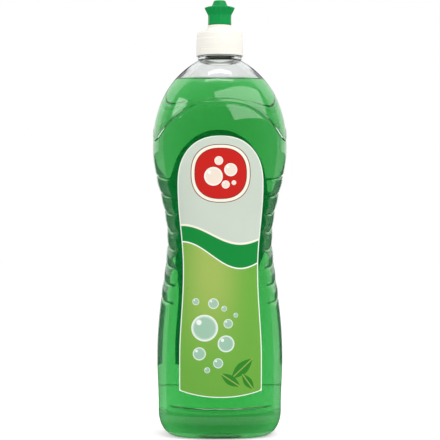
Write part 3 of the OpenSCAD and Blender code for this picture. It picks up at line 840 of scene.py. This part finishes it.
def spout_piece(plastic):
    """The push-pull spout with its barrel, fluted flare, nose and hollow inside."""
    nose_bore = NOSE_TIP_RADIUS - NOSE_PLATE / 2
    orifice = PIN_RADIUS + RUNNING
    bead_top = SPOUT_Z + BEAD_HEIGHT
    outline = rounded([
        (TUBE_RADIUS + RUNNING, SPOUT_Z, 0), (BARREL_RADIUS, SPOUT_Z, 0.35), (BARREL_RADIUS, FLARE_Z, 2.5),
        (FLARE_RADIUS, FLARE_TOP, 0.35), (FLARE_RADIUS - 0.5, FLARE_TOP + 0.35, 0.3),
        (NOSE_RADIUS + 0.3, NOSE_Z, 0.4), (NOSE_RADIUS, NOSE_Z + 0.3, 0.2),
        (NOSE_TIP_RADIUS, SPOUT_TOP, 0.7), (orifice, SPOUT_TOP, 0.2), (orifice, SPOUT_TOP - NOSE_PLATE, 0.1),
        (nose_bore, SPOUT_TOP - NOSE_PLATE, 0.2), (nose_bore, NOSE_Z, 0.3),
        (SPOUT_BORE, NOSE_Z - SPOUT_BORE + nose_bore, 0.3), (SPOUT_BORE, bead_top + BEAD, 0.1),
        (TUBE_RADIUS + RUNNING, bead_top, 0.1), (TUBE_RADIUS + RUNNING, SPOUT_Z, 0)
    ])
    verts, faces = loft(turned(refined(outline, 0.25)[:-1], FLUTES * 12), loop=True)
    piece = mesh_object("fluted_spout", verts, faces, 35)
    flutes = {"Count": FLUTES, "Depth": 1.0, "Width share": 0.9, "Foot": SPOUT_Z + 1.5, "Tip": FLARE_TOP,
              "Least radius": SPOUT_WALL, "Flare radius": FLARE_RADIUS}
    return shaped(piece, flute_tree(), plastic, {name: float(size) for name, size in flutes.items()}, 35)


def seal_piece():
    """The foam ring on the neck's lip."""
    outer = SKIRT_BORE - 0.2
    outline = rounded([
        (BORE_RADIUS, LIP_Z, 0), (outer, LIP_Z, 0.2), (outer, CEILING_Z, 0.2), (BORE_RADIUS, CEILING_Z, 0.2),
        (BORE_RADIUS, LIP_Z, 0)
    ])
    verts, faces = loft(turned(refined(outline, 0.3)[:-1], CAP_SEGMENTS), loop=True)
    return mesh_object("foam_ring", verts, faces, 35)


# Materials
def empty_material(name):
    """A node material with nothing in it."""
    material = bpy.data.materials.new(name)
    material.use_nodes = True
    material.node_tree.nodes.clear()
    return material, material.node_tree


def new_material(name, finish):
    """A node material with a Principled shader of the given finish on its output."""
    material, tree = empty_material(name)
    shader = wired(tree, "ShaderNodeBsdfPrincipled", finish)
    output = wired(tree, "ShaderNodeOutputMaterial", {"Surface": shader.outputs[0]})
    return material, tree, shader, output


def show_mix(tree, output, share, first, second):
    """Puts a mix of two shaders on the material's output."""
    both = wired(tree, "ShaderNodeMixShader", {0: share, 1: first.outputs[0], 2: second.outputs[0]})
    join(tree, both.outputs[0], output.inputs["Surface"])


def mixed(tree, share, first, second):
    """A colour between two, by a number or a socket."""
    return wired(tree, "ShaderNodeMix", {0: share, 6: first, 7: second}, data_type="RGBA").outputs[2]


def place_group(tree, group, values):
    """A shader group placed in a material, with its inputs set or linked."""
    return wired(tree, "ShaderNodeGroup", values, node_tree=group).outputs


def object_place(tree):
    return add_node(tree, "ShaderNodeTexCoord").outputs["Object"]


def grain_group():
    """Grain of a moulded, blown or printed surface: soft patches, uneven gloss and fine relief."""
    tree, given, result = new_group(
        "ShaderNodeTree", "surface_grain",
        {"Patch scale": "Float", "Grain scale": "Float", "Roughness": "Float", "Spread": "Float"},
        {"Patch": "Float", "Roughness": "Float", "Height": "Float"})
    place = object_place(tree)
    noises = []
    for scale, detail in (("Patch scale", 3.0), ("Grain scale", 2.0)):
        wires = {"Vector": place, "Scale": given[scale], "Detail": detail}
        noises.append(wired(tree, "ShaderNodeTexNoise", wires).outputs["Fac"])
    patch, grain = noises
    off = maths(tree, "SUBTRACT", patch, 0.5)
    join(tree, patch, result["Patch"])
    join(tree, maths(tree, "MULTIPLY_ADD", off, given["Spread"], given["Roughness"]), result["Roughness"])
    join(tree, grain, result["Height"])
    return tree


def relief(tree, shader, height, strength, distance):
    """Feeds a height to the shader's normal."""
    bump = wired(tree, "ShaderNodeBump", {"Strength": strength, "Distance": distance, "Height": height})
    join(tree, bump.outputs["Normal"], shader.inputs["Normal"])


def clear_plastic():
    """Clear blown plastic with a faint waviness."""
    material, tree, shader, _ = new_material("clear_blown_plastic", {
        "Base Color": (0.90, 0.92, 0.91), "Transmission Weight": 1.0, "Roughness": 0.015, "IOR": 1.5})
    grain = place_group(tree, SURFACE_GRAIN, {"Patch scale": 30.0, "Grain scale": 55.0})
    relief(tree, shader, grain["Height"], 0.1, 0.0005)
    return material


LIQUID_IOR = 1.25
LIQUID_DENSITY = 46.0
LIQUID_TINT = (0.0, 0.745, 0.17)


def green_liquid():
    """Clear green liquid that takes its colour by depth."""
    material, tree, _, output = new_material("green_wash_liquid", {
        "Base Color": (1.0, 1.0, 1.0), "Transmission Weight": 1.0, "Roughness": 0.0, "IOR": LIQUID_IOR})
    depth = wired(tree, "ShaderNodeVolumeAbsorption", {"Color": LIQUID_TINT, "Density": LIQUID_DENSITY})
    join(tree, depth.outputs[0], output.inputs["Volume"])
    return material


def moulded(name, colour, roughness, specular, bump=0.1, shade=0.94):
    """Moulded plastic with fine surface grain and slightly uneven gloss."""
    material, tree, shader, _ = new_material(name, {"Specular IOR Level": specular})
    grain = place_group(tree, SURFACE_GRAIN, {"Patch scale": 90.0, "Grain scale": 900.0,
                                              "Roughness": roughness, "Spread": 0.16})
    tone = mixed(tree, grain["Patch"], colour, tuple(c * shade for c in colour))
    join(tree, tone, shader.inputs["Base Color"])
    join(tree, grain["Roughness"], shader.inputs["Roughness"])
    relief(tree, shader, grain["Height"], bump, 0.0002)
    return material


def bubble_group():
    """One printed soap bubble: its disc, its pale rim and its shine."""
    names = ("X", "Z", "Centre X", "Centre Z", "Radius")
    tree, given, result = new_group("ShaderNodeTree", "printed_bubble", {name: "Float" for name in names},
                                    {"Disc": "Float", "Rim": "Float", "Shine": "Float"})
    x = maths(tree, "DIVIDE", maths(tree, "SUBTRACT", given["X"], given["Centre X"]), given["Radius"])
    z = maths(tree, "DIVIDE", maths(tree, "SUBTRACT", given["Z"], given["Centre Z"]), given["Radius"])

    def away(off):
        u = maths(tree, "ADD", x, off)
        v = maths(tree, "SUBTRACT", z, off)
        return maths(tree, "SQRT", maths(tree, "MULTIPLY_ADD", u, u, product(tree, v, v)))

    disc = step(tree, away(0.0), 1.0, 0.97)
    join(tree, disc, result["Disc"])
    join(tree, product(tree, disc, step(tree, away(0.0), 0.72, 0.98)), result["Rim"])
    join(tree, step(tree, away(0.42), 0.24, 0.16), result["Shine"])
    return tree


def leaf_group():
    """One printed leaf: its blade and its middle vein."""
    names = ("X", "Z", "Centre X", "Centre Z", "Turn", "Half length", "Half width")
    tree, given, result = new_group("ShaderNodeTree", "printed_leaf", {name: "Float" for name in names},
                                    {"Blade": "Float", "Vein": "Float"})
    x = maths(tree, "SUBTRACT", given["X"], given["Centre X"])
    z = maths(tree, "SUBTRACT", given["Z"], given["Centre Z"])
    cosine, sine = (maths(tree, name, given["Turn"]) for name in ("COSINE", "SINE"))
    along = maths(tree, "MULTIPLY_ADD", x, cosine, product(tree, z, sine))
    along = maths(tree, "DIVIDE", along, given["Half length"])
    across = maths(tree, "SUBTRACT", product(tree, z, cosine), product(tree, x, sine))
    room = maths(tree, "SUBTRACT", 1.0, maths(tree, "POWER", maths(tree, "ABSOLUTE", along), 1.7))
    share = maths(tree, "DIVIDE", maths(tree, "ABSOLUTE", across),
                  maths(tree, "MAXIMUM", 0.001, product(tree, room, given["Half width"])))
    blade = step(tree, share, 1.0, 0.94)
    join(tree, blade, result["Blade"])
    join(tree, product(tree, blade, step(tree, maths(tree, "ABSOLUTE", across), 0.5, 0.2)), result["Vein"])
    return tree


# The front label's print, with places and sizes in millimetres on its panel.
# A ring of the medallion is the two ends of its soft edge, and a wave is a factor and an offset.
MEDAL = {"z": 170.5, "half": 16.6, "rise": 16.2, "power": 2.4}
MEDAL_RINGS = ((1.42, 1.38), (1.34, 1.30), (1.04, 1.0), (0.98, 0.94))
BAND = {"wave": (0.085, 0.5), "top": (-6.0, 131.0), "low": (-8.5, 118.0)}
CREAM = (0.87, 0.83, 0.70)
PALE = (0.58, 0.65, 0.56)
RED = (0.56, 0.012, 0.008)
DARK_RED = (0.16, 0.006, 0.006)
BAND_GREEN = (0.004, 0.25, 0.04)
LIME = (0.34, 0.47, 0.10)
LEAF = (0.03, 0.24, 0.02)
TEAL = (0.36, 0.56, 0.50)
WHITE = (0.86, 0.90, 0.84)
MEDAL_BUBBLES = (
    (-4.6, 168.6, 6.0), (6.4, 172.8, 4.2), (3.2, 163.4, 2.6), (-1.2, 178.6, 2.8), (8.4, 164.6, 1.5))
FIELD_BUBBLES = (
    (-10.2, 72.0, 8.6), (3.4, 62.0, 5.4), (-13.6, 55.6, 4.2), (-1.6, 49.6, 3.2), (4.8, 74.8, 3.0),
    (-4.6, 87.6, 3.4), (-15.8, 88.8, 2.2), (2.2, 84.4, 1.8), (-8.6, 45.2, 1.9), (9.6, 80.2, 1.5))
LEAVES = ((13.6, 46.2, 0.75, 9.4, 3.9), (6.2, 38.8, 2.55, 7.6, 3.2), (17.4, 37.6, 2.2, 6.4, 2.8))


def face_mask(tree):
    """1 on a film's outer face and 0 on the face that lies on the bottle."""
    outer = add_node(tree, "ShaderNodeAttribute", attribute_name="outside")
    return step(tree, outer.outputs["Fac"], 0.4, 0.6)


def front_print():
    """The front label's print: fields of colour, a medallion, soap bubbles and leaves."""
    material, tree, shader, _ = new_material("front_label_print", {"Specular IOR Level": 0.25})
    parts = wired(tree, "ShaderNodeSeparateXYZ", {0: object_place(tree)})
    x = maths(tree, "DIVIDE", parts.outputs["X"], MM)
    z = maths(tree, "DIVIDE", parts.outputs["Z"], MM)
    grain = place_group(tree, SURFACE_GRAIN, {"Patch scale": 45.0, "Grain scale": 320.0, "Roughness": 0.3,
                                              "Spread": 0.12})
    colour = mixed(tree, grain["Patch"], PALE, tuple(c * 0.92 for c in PALE))

    wave = maths(tree, "SINE", maths(tree, "MULTIPLY_ADD", x, *BAND["wave"]))
    band_top = maths(tree, "MULTIPLY_ADD", wave, *BAND["top"])
    band_low = maths(tree, "MULTIPLY_ADD", wave, *BAND["low"])
    below = maths(tree, "SUBTRACT", band_top, z)
    colour = mixed(tree, step(tree, below, -1.5, -1.2), colour, CREAM)
    colour = mixed(tree, step(tree, below, -0.15, 0.15), colour, BAND_GREEN)
    lower = maths(tree, "SUBTRACT", band_low, z)
    glow = step(tree, maths(tree, "ABSOLUTE", maths(tree, "ADD", x, 6.0)), 26.0, 2.0)
    field = mixed(tree, product(tree, glow, step(tree, z, 40.0, 108.0)), (0.15, 0.40, 0.05), LIME)
    colour = mixed(tree, step(tree, lower, -1.0, -0.7), colour, WHITE)
    colour = mixed(tree, step(tree, lower, -0.15, 0.15), colour, field)

    for cx, cz, turn, length, width in LEAVES:
        leaf = place_group(tree, PRINTED_LEAF, {"X": x, "Z": z, "Centre X": cx, "Centre Z": cz, "Turn": turn,
                                                "Half length": length, "Half width": width})
        colour = mixed(tree, leaf["Blade"], colour, LEAF)
        colour = mixed(tree, product(tree, leaf["Vein"], 0.8), colour, LIME)

    across = maths(tree, "DIVIDE", maths(tree, "ABSOLUTE", x), MEDAL["half"])
    up = maths(tree, "ABSOLUTE", maths(tree, "DIVIDE", maths(tree, "SUBTRACT", z, MEDAL["z"]), MEDAL["rise"]))
    ring = maths(tree, "ADD", *(maths(tree, "POWER", share, MEDAL["power"]) for share in (across, up)))
    for (start, end), ink in zip(MEDAL_RINGS, (DARK_RED, CREAM, DARK_RED, RED)):
        colour = mixed(tree, step(tree, ring, start, end), colour, ink)

    for bubbles, body, share in ((MEDAL_BUBBLES, CREAM, 0.85), (FIELD_BUBBLES, TEAL, 0.75)):
        for cx, cz, radius in bubbles:
            bubble = place_group(tree, PRINTED_BUBBLE, {"X": x, "Z": z, "Centre X": cx, "Centre Z": cz,
                                                        "Radius": radius})
            colour = mixed(tree, product(tree, bubble["Disc"], share), colour, body)
            for part_name in ("Rim", "Shine"):
                colour = mixed(tree, product(tree, bubble[part_name], 0.9), colour, WHITE)

    edge = add_node(tree, "ShaderNodeAttribute", attribute_name="from_edge")
    colour = mixed(tree, step(tree, edge.outputs["Fac"], 0.75, 0.45), colour, WHITE)
    join(tree, mixed(tree, face_mask(tree), WHITE, colour), shader.inputs["Base Color"])
    join(tree, grain["Roughness"], shader.inputs["Roughness"])
    relief(tree, shader, grain["Height"], 0.05, 0.0002)
    return material


# Painted teal on the back film's face that lies on the bottle, as its colour and as the light it lets
# through: the film is white, and the teal stands in for the green, shaded light that reaches that face
# through the liquid
BACK_FILM_PAINTED_TEAL = (0.34, 0.80, 0.72)
BACK_FILM_PAINTED_TEAL_LIGHT = (0.06, 1.0, 0.8)
# Share of the light that goes through it, on that face and on the outer one
FILM_THROUGH = (0.75, 0.4)


def back_print():
    """The back label's white film, which lets some light through, with painted teal on the face that lies on
    the bottle.
    """
    material, tree, shader, output = new_material("back_label_film", {})
    grain = place_group(tree, SURFACE_GRAIN, {"Patch scale": 45.0, "Grain scale": 320.0, "Roughness": 0.4,
                                              "Spread": 0.12})
    film = mixed(tree, grain["Patch"], (0.82, 0.84, 0.82), (0.76, 0.79, 0.77))
    # Painted teal on the inner face, both in its colour and in the light it lets through
    join(tree, mixed(tree, face_mask(tree), BACK_FILM_PAINTED_TEAL, film), shader.inputs["Base Color"])
    join(tree, grain["Roughness"], shader.inputs["Roughness"])
    light = mixed(tree, face_mask(tree), BACK_FILM_PAINTED_TEAL_LIGHT, (1.0, 1.0, 1.0))
    through = wired(tree, "ShaderNodeBsdfTranslucent", {"Color": light})
    share = maths(tree, "MULTIPLY_ADD", face_mask(tree), FILM_THROUGH[1] - FILM_THROUGH[0], FILM_THROUGH[0])
    show_mix(tree, output, share, shader, through)
    return material


def dress(piece, material, body, node):
    """Gives a finished piece its material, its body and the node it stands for."""
    if not piece.data.materials:
        piece.data.materials.append(material)
    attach(piece, body)
    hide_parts(node)
    return piece


# The camera, in metres, degrees and, for the lens, millimetres
CAMERA_DISTANCE = 1.03
CAMERA_HEIGHT = 0.1408
CAMERA_AZIMUTH = -1.0
CAMERA_LENS = 127.8
CAMERA_SHIFT_X = 0.0007


def build_camera():
    """The camera at the photograph's viewing angle."""
    data = bpy.data.cameras.new("view_camera")
    data.lens = CAMERA_LENS
    data.sensor_width = 36.0
    data.shift_x = CAMERA_SHIFT_X
    data.clip_start = 0.01
    camera = bpy.data.objects.new("view_camera", data)
    bpy.context.scene.collection.objects.link(camera)
    turn = math.radians(CAMERA_AZIMUTH)
    camera.location = (CAMERA_DISTANCE * math.sin(turn), -CAMERA_DISTANCE * math.cos(turn), CAMERA_HEIGHT)
    camera.rotation_euler = (math.radians(90), 0, turn)
    bpy.context.scene.camera = camera


def soft_lamp(name, turn, tilt, distance, size, energy):
    """A rectangular soft box that looks at the bottle from a turn and a tilt in degrees."""
    data = bpy.data.lights.new(name, "AREA")
    data.shape = "RECTANGLE"
    data.size, data.size_y = size
    data.energy = energy
    lamp = bpy.data.objects.new(name, data)
    turn, tilt = math.radians(turn), math.radians(tilt)
    way = Vector((math.sin(turn) * math.cos(tilt), -math.cos(turn) * math.cos(tilt), math.sin(tilt)))
    lamp.location = way * distance + Vector((0, 0, SHOULDER_Z * MM))
    lamp.rotation_euler = way.to_track_quat("Z", "Y").to_euler()
    bpy.context.scene.collection.objects.link(lamp)


# The stage. The world, the floor and the soft boxes are in metres, cloths and the ring of painted shadow
# round the foot in millimetres.
# A cloth has both its turns and both its elevations, and a soft box its turn, tilt, distance, size and watts.
WORLD_LIGHT = 0.85
FLOOR_RADIUS = 4.0
FLOOR_GLOW = 0.42
FLOOR_PAINTED_SHADOW_REACH = (0.06, 0.14)
# Distances from the bottle over which the floor's glow, as seen through the bottle, grows from none to full:
# a painted shadow round the bottle
CLOTH_GAP = 3.0
CLOTH_RADIUS = 2500.0
FRONT_CLOTH_TURN = 100
FRONT_CLOTH_RISE = 70
REFLECTED_CLOTHS = (
    ("dark_side_cloth", -120, 120, 0, 32), ("dark_low_cloth", -158, 158, 0, 5),
    ("dark_back_cloth", 163, 197, 14, 80))
CLOTH_GREY = 0.03
# Painted shadow under the foot: a ring round it, seen only through the bottle, that glows grey at the floor
# and white higher up
FOOT_SHADOW_GAP = 8.0
FOOT_SHADOW_HEIGHT = 13.0
FOOT_SHADOW_GREY = 0.3
SOFT_BOXES = (
    ("right_box", 42, 40, 1.5, (1.8, 0.95), 10.5), ("left_box", -66, 33, 1.5, (0.7, 0.5), 3.0),
    ("top_box", 0, 80, 1.4, (0.6, 0.2), 1.9))


def seen_directly(tree):
    """1 for what the camera, a reflection or clear plastic shows, 0 for the light on the object."""
    path = tree.nodes.new("ShaderNodeLightPath")
    through = maths(tree, "MAXIMUM", path.outputs["Is Glossy Ray"], path.outputs["Is Transmission Ray"])
    return maths(tree, "MAXIMUM", path.outputs["Is Camera Ray"], through)


def stage_piece(name, verts, faces, grey, shader_kind):
    """A floor, cloth or card with its plain material."""
    piece = mesh_object(name, verts, faces)
    material, tree = empty_material(name + "_paint")
    paint = wired(tree, shader_kind, {"Color": (grey, grey, grey)})
    output = wired(tree, "ShaderNodeOutputMaterial", {"Surface": paint.outputs[0]})
    piece.data.materials.append(material)
    return piece, tree, paint, output


def hide_from(piece, *rays):
    for ray in rays:
        setattr(piece, "visible_" + ray, False)


def cloth_piece(name, start, end, low, top):
    """Dark cloth between two turns and two elevations, seen only after a reflection in the bottle.

    One that starts at no elevation runs on over the floor to the bottle's foot.
    """
    bow = [math.radians(t) for t in stations(start, end, 5)]
    rise = [math.radians(t) for t in stations(low, top, 8)]
    rows = [([CLOTH_RADIUS * math.cos(t)] * len(bow), CLOTH_RADIUS * math.sin(t) + 1.0) for t in rise]
    if low == 0:
        w, d = half_width(1) + CLOTH_GAP, half_depth(1) + CLOTH_GAP
        rows.insert(0, ([reach(a - math.pi / 2, w, d, power_at(1)) for a in bow], 1.0))
    verts = [(r * math.sin(a), -r * math.cos(a), z) for row, z in rows for r, a in zip(row, bow)]
    n = len(bow)
    faces = [(k * n + i, k * n + i + 1, k * n + n + i + 1, k * n + n + i)
             for k in range(len(rows) - 1) for i in range(n - 1)]
    cloth, tree, paint, output = stage_piece(name, verts, faces, CLOTH_GREY, "ShaderNodeEmission")
    path = tree.nodes.new("ShaderNodeLightPath")
    reflected = maths(tree, "GREATER_THAN", path.outputs["Glossy Depth"], 0.5)
    show_mix(tree, output, reflected, tree.nodes.new("ShaderNodeBsdfTransparent"), paint)
    hide_from(cloth, "camera", "diffuse", "shadow")
    return cloth


def build_stage():
    """White surroundings, a pale floor whose glow fades near the bottle as painted shadow, dark cloths, a
    ring of painted shadow round the foot and soft studio lamps.
    """
    world = bpy.data.worlds.new("white_surroundings")
    bpy.context.scene.world = world
    world.use_nodes = True
    tree = world.node_tree
    tree.nodes.clear()
    strength = maths(tree, "MULTIPLY_ADD", seen_directly(tree), 1.0 - WORLD_LIGHT, WORLD_LIGHT)
    background = wired(tree, "ShaderNodeBackground", {"Color": (1.0, 1.0, 1.0), "Strength": strength})
    wired(tree, "ShaderNodeOutputWorld", {"Surface": background.outputs[0]})

    rim = [(FLOOR_RADIUS * math.cos(a) / MM, FLOOR_RADIUS * math.sin(a) / MM, -0.02) for a in angles(96)]
    _, tree, paint, output = stage_piece("pale_floor", rim, [tuple(range(96))], 0.8, "ShaderNodeBsdfDiffuse")
    path = tree.nodes.new("ShaderNodeLightPath")
    # Through the bottle the floor glows only away from it, which paints a shadow round the bottle; the camera
    # sees the glow everywhere
    distance = wired(tree, "ShaderNodeVectorMath", {0: object_place(tree)}, operation="LENGTH")
    far = step(tree, distance.outputs["Value"], *FLOOR_PAINTED_SHADOW_REACH)
    clear = product(tree, path.outputs["Is Transmission Ray"], far)
    strength = product(tree, maths(tree, "MAXIMUM", path.outputs["Is Camera Ray"], clear), FLOOR_GLOW)
    glow = wired(tree, "ShaderNodeEmission", {"Color": (1.0, 1.0, 1.0), "Strength": strength})
    both = wired(tree, "ShaderNodeAddShader", {0: paint.outputs[0], 1: glow.outputs[0]})
    join(tree, both.outputs[0], output.inputs["Surface"])

    cloth_piece("dark_front_cloth", -FRONT_CLOTH_TURN, FRONT_CLOTH_TURN, 0, FRONT_CLOTH_RISE)
    for name, start, end, low, top in REFLECTED_CLOTHS:
        hide_from(cloth_piece(name, start, end, low, top), "transmission")
    # Painted shadow under the foot: a ring that glows darker towards the floor, seen only through the bottle
    outline = [body_point(a, FOOT_ROUND_HEIGHT, -FOOT_SHADOW_GAP, False) for a in angles(96)]
    verts, faces = loft([[(x, y, z) for x, y, _ in outline] for z in (0.5, FOOT_SHADOW_HEIGHT)], loop=True)
    foot_shadow_ring, tree, paint, _ = stage_piece("painted_foot_shadow_ring", verts, faces, 1.0, "ShaderNodeEmission")
    parts = wired(tree, "ShaderNodeSeparateXYZ", {0: object_place(tree)})
    share = step(tree, parts.outputs["Z"], 0.0, FOOT_SHADOW_HEIGHT * MM)
    join(tree, maths(tree, "MULTIPLY_ADD", share, 1.0 - FOOT_SHADOW_GREY, FOOT_SHADOW_GREY), paint.inputs["Strength"])
    hide_from(foot_shadow_ring, "camera", "diffuse", "shadow", "glossy")

    for box in SOFT_BOXES:
        soft_lamp(*box)


bpy.context.scene.view_settings.view_transform = "Standard"
GRIP_GROOVES = groove_tree()
SCREW_THREAD = thread_tree()
SURFACE_GRAIN = grain_group()
PRINTED_BUBBLE = bubble_group()
PRINTED_LEAF = leaf_group()
PLASTIC = clear_plastic()
LIQUID = green_liquid()
CAP_WHITE = moulded("white_cap_plastic", (0.90, 0.875, 0.80), 0.4, 0.2)
SPOUT_GREEN = moulded("green_spout_plastic", (0.002, 0.30, 0.065), 0.32, 0.2)
SEAL_FOAM = moulded("seal_foam", (0.85, 0.85, 0.8), 0.85, 0.2, 0.4)
build_camera()
build_stage()
dress(bottle_piece(PLASTIC), PLASTIC, "bottle_body", "bottle")
dress(liquid_piece(LIQUID), LIQUID, "bottle_body", "liquid")
dress(label_piece("front_film", FRONT, 1), front_print(), "bottle_body", "front_label")
dress(label_piece("back_film", BACK, -1), back_print(), "bottle_body", "back_label")
dress(cap_piece(CAP_WHITE), CAP_WHITE, "cap", "screw_cap")
dress(spout_piece(SPOUT_GREEN), SPOUT_GREEN, "spout", "push_pull_spout")
dress(seal_piece(), SEAL_FOAM, "seal", "sealing_ring")
